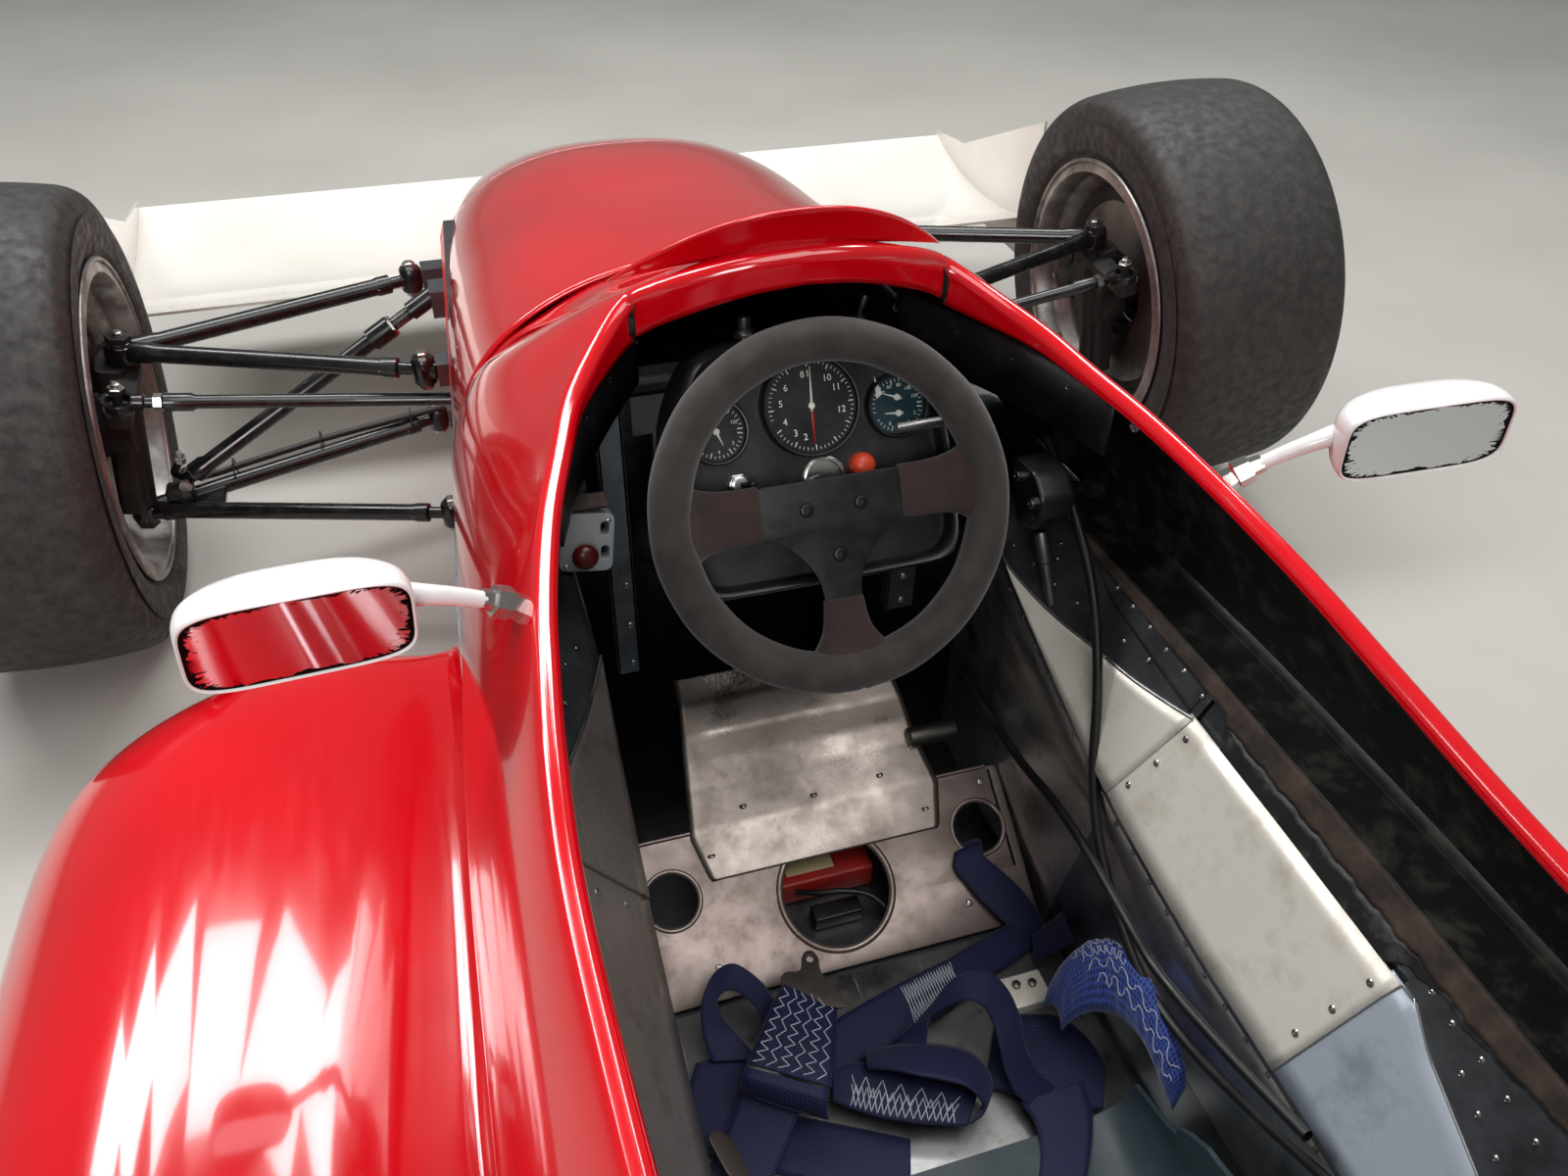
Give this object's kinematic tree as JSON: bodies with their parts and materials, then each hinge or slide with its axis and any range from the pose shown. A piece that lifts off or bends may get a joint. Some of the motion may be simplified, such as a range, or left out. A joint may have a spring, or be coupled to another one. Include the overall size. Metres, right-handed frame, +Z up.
{
  "type": "open wheel racing car",
  "caption": "Single seat open wheel racing car with wings, one large side pod, pushrod front suspension, rolling wheels and working steering.",
  "frame": {"origin": "centre of the box on the ground, on the car's centreline at mid length", "axes": "+Y forward, +X to the driver's right, +Z up"},
  "size_m": [1.6758, 4.11, 0.9089],
  "materials": {
    "aluminium_tub": "riveted sheet, outside painted red",
    "red_gelcoat": "gloss red",
    "red_acrylic": "tinted gloss",
    "floor_composite": "matte composite",
    "white_paint": "gloss cream white",
    "sheet_aluminium": "satin",
    "black_enamel": "gloss black enamel",
    "black_vinyl": "padded",
    "seat_composite": "satin composite",
    "black_moulding": "matte moulded",
    "instrument_black": "glass and black bezel",
    "grey_box": "satin",
    "red_moulding": "worn red",
    "blue_webbing": "woven webbing",
    "blue_mesh": "knitted mesh",
    "black_cable": "smooth sheath",
    "mirror_white": "gloss white",
    "mirror_silver": "silvered glass",
    "upright_magnesium": "dark cast",
    "suede_grip": "worn suede",
    "engine_metal": "cast alloy",
    "gearbox_alloy": "cast alloy",
    "exhaust_steel": "heat tinted",
    "radiator_core": "black core",
    "shaft_steel": "oiled",
    "damper_steel": "plated",
    "rim_magnesium": "cast, worn",
    "slick_rubber": "worn slick"
  },
  "bodies": {
    "chassis": {"cockpit_surround": "red_gelcoat", "control_cables": "black_cable", "dash_panel": "black_moulding", "driveshafts": "shaft_steel", "engine": "engine_metal", "engine_cover": "red_gelcoat", "exhaust": "exhaust_steel", "floor_pan": "floor_composite", "front_end_plates": "white_paint", "front_pushrods": "black_enamel", "front_wing": "white_paint", "front_wishbones": "black_enamel", "gear_lever": "black_moulding", "gearbox": "gearbox_alloy", "harness": "blue_webbing", "headrest": "black_vinyl", "ignition_box": "red_moulding", "instruments": "instrument_black", "mirror_glasses": "mirror_silver", "mirror_housings": "mirror_white", "nose_cone": "red_gelcoat", "pedals": "sheet_aluminium", "radiator": "radiator_core", "rear_dampers": "damper_steel", "rear_end_plates": "white_paint", "rear_uprights": "upright_magnesium", "rear_wing": "white_paint", "rear_wishbones": "black_enamel", "roll_hoop": "black_enamel", "seat": "seat_composite", "seat_bulkhead": "sheet_aluminium", "shin_plate": "sheet_aluminium", "shoulder_pad": "blue_mesh", "sidepod_left": "red_gelcoat", "sidepod_right": "red_gelcoat", "switch_box": "grey_box", "tub": "aluminium_tub", "windscreen_lip": "red_acrylic", "wing_post": "sheet_aluminium"},
    "left_knuckle": {"front_upright_left": "upright_magnesium"},
    "right_knuckle": {"front_upright_right": "upright_magnesium"},
    "front_left_wheel": {"front_rim_left": "rim_magnesium", "front_tyre_left": "slick_rubber"},
    "front_right_wheel": {"front_rim_right": "rim_magnesium", "front_tyre_right": "slick_rubber"},
    "rear_left_wheel": {"rear_rim_left": "rim_magnesium", "rear_tyre_left": "slick_rubber"},
    "rear_right_wheel": {"rear_rim_right": "rim_magnesium", "rear_tyre_right": "slick_rubber"},
    "rack": {"steering_rack": "black_enamel"},
    "hand_wheel": {"steering_wheel": "suede_grip", "steering_column": "black_enamel"}
  },
  "joints": [
    {"name": "front_left_steer", "type": "hinge", "parent": "chassis", "child": "left_knuckle", "pos_m": [-0.625, 1.255, 0.14], "axis": [0.1779, -0.0468, 0.9829], "range_deg": [-16, 16]},
    {"name": "front_right_steer", "type": "hinge", "parent": "chassis", "child": "right_knuckle", "pos_m": [0.625, 1.255, 0.14], "axis": [-0.1779, -0.0468, 0.9829], "range_deg": [-16.5, 16.5]},
    {"name": "rack_slide", "type": "slide", "parent": "chassis", "child": "rack", "axis": [1, 0, 0], "range_m": [-0.026, 0.026]},
    {"name": "steering_wheel_turn", "type": "hinge", "parent": "chassis", "child": "hand_wheel", "pos_m": [0, 0.602, 0.477], "axis": [0, -0.8625, 0.506], "range_deg": [-162, 162]},
    {"name": "front_left_roll", "type": "hinge", "parent": "left_knuckle", "child": "front_left_wheel", "pos_m": [-0.712, 1.255, 0.26254], "axis": [-0.9984, -0.0192, 0.0541], "continuous": true},
    {"name": "front_right_roll", "type": "hinge", "parent": "right_knuckle", "child": "front_right_wheel", "pos_m": [0.712, 1.255, 0.26254], "axis": [0.9984, -0.0192, 0.0541], "continuous": true},
    {"name": "rear_left_roll", "type": "hinge", "parent": "chassis", "child": "rear_left_wheel", "pos_m": [-0.695, -1.305, 0.27922], "axis": [-0.9997, 0, 0.0262], "continuous": true},
    {"name": "rear_right_roll", "type": "hinge", "parent": "chassis", "child": "rear_right_wheel", "pos_m": [0.695, -1.305, 0.27922], "axis": [0.9997, 0, 0.0262], "continuous": true}
  ],
  "couplings": [
    {"joint": "front_right_steer", "follows": "front_left_steer", "ratio": 1},
    {"joint": "rack_slide", "follows": "front_left_steer", "m_per_rad": 0.091},
    {"joint": "steering_wheel_turn", "follows": "front_left_steer", "ratio": 10}
  ]
}
